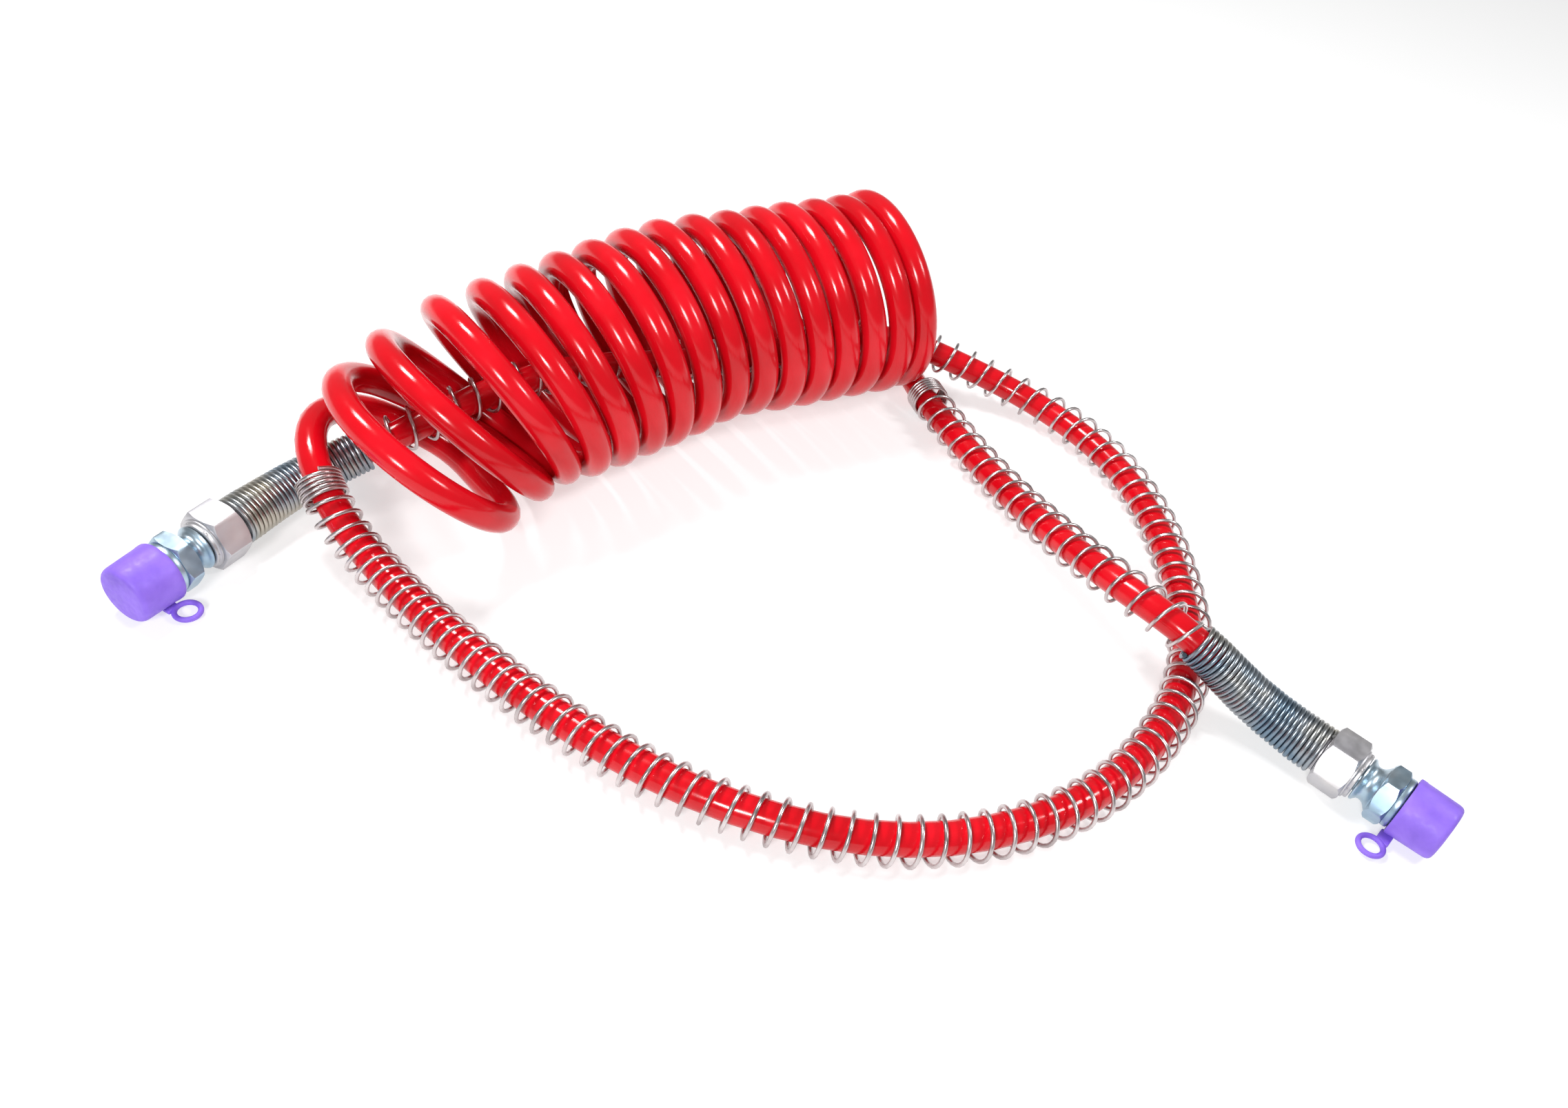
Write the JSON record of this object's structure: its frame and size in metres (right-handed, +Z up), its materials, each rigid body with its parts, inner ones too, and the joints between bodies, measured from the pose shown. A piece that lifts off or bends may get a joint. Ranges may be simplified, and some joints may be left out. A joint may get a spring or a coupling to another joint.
{
  "type": "coiled air brake hose",
  "caption": "Red coiled air brake hose with spring-armoured leads, swivel pipe fittings and slip-on dust caps, lying on the ground.",
  "frame": {"origin": "on the ground, midway between the two end fittings", "axes": "+X along the coil, from the end the long lead grows out of to the end the short lead grows out of; +Z up from the ground"},
  "size_m": [0.4562, 0.4127, 0.1037],
  "materials": {
    "hose_tube": "gloss",
    "armour_wire": "satin",
    "guard_wire": "satin",
    "body_plating": "satin",
    "adaptor_plating": "satin",
    "spring_steel": "satin",
    "brass": "satin",
    "seal_rubber": "matte",
    "cap_plastic": "matte"
  },
  "bodies": {
    "hose": {"coil_tight_turns": "hose_tube", "coil_loose_turns": "hose_tube", "long_lead_hose": "hose_tube", "short_lead_hose": "hose_tube", "long_lead_armour": "armour_wire", "short_lead_armour": "armour_wire", "long_end_spring_guard": "guard_wire", "long_end_swivel_body": "body_plating", "long_end_clamp_sleeve": "brass", "long_end_tube_insert": "brass", "short_end_spring_guard": "guard_wire", "short_end_swivel_body": "body_plating", "short_end_clamp_sleeve": "brass", "short_end_tube_insert": "brass"},
    "long_end_adaptor": {"long_end_pipe_adaptor": "adaptor_plating", "long_end_retaining_ring": "spring_steel", "long_end_o_ring": "seal_rubber"},
    "long_end_cap": {"long_end_dust_cap": "cap_plastic"},
    "short_end_adaptor": {"short_end_pipe_adaptor": "adaptor_plating", "short_end_retaining_ring": "spring_steel", "short_end_o_ring": "seal_rubber"},
    "short_end_cap": {"short_end_dust_cap": "cap_plastic"}
  },
  "joints": [
    {"name": "long_end_swivel", "type": "hinge", "parent": "hose", "child": "long_end_adaptor", "pos_m": [-0.16475, 0.15465, 0.0127], "axis": [-0.8746, -0.4848, 0], "continuous": true},
    {"name": "long_end_cap_off", "type": "slide", "parent": "long_end_adaptor", "child": "long_end_cap", "axis": [-0.8746, -0.4848, 0], "range_m": [0, 0.025]},
    {"name": "short_end_swivel", "type": "hinge", "parent": "hose", "child": "short_end_adaptor", "pos_m": [0.18492, -0.1457, 0.0127], "axis": [0.2419, -0.9703, 0], "continuous": true},
    {"name": "short_end_cap_off", "type": "slide", "parent": "short_end_adaptor", "child": "short_end_cap", "axis": [0.2419, -0.9703, 0], "range_m": [0, 0.025]}
  ]
}
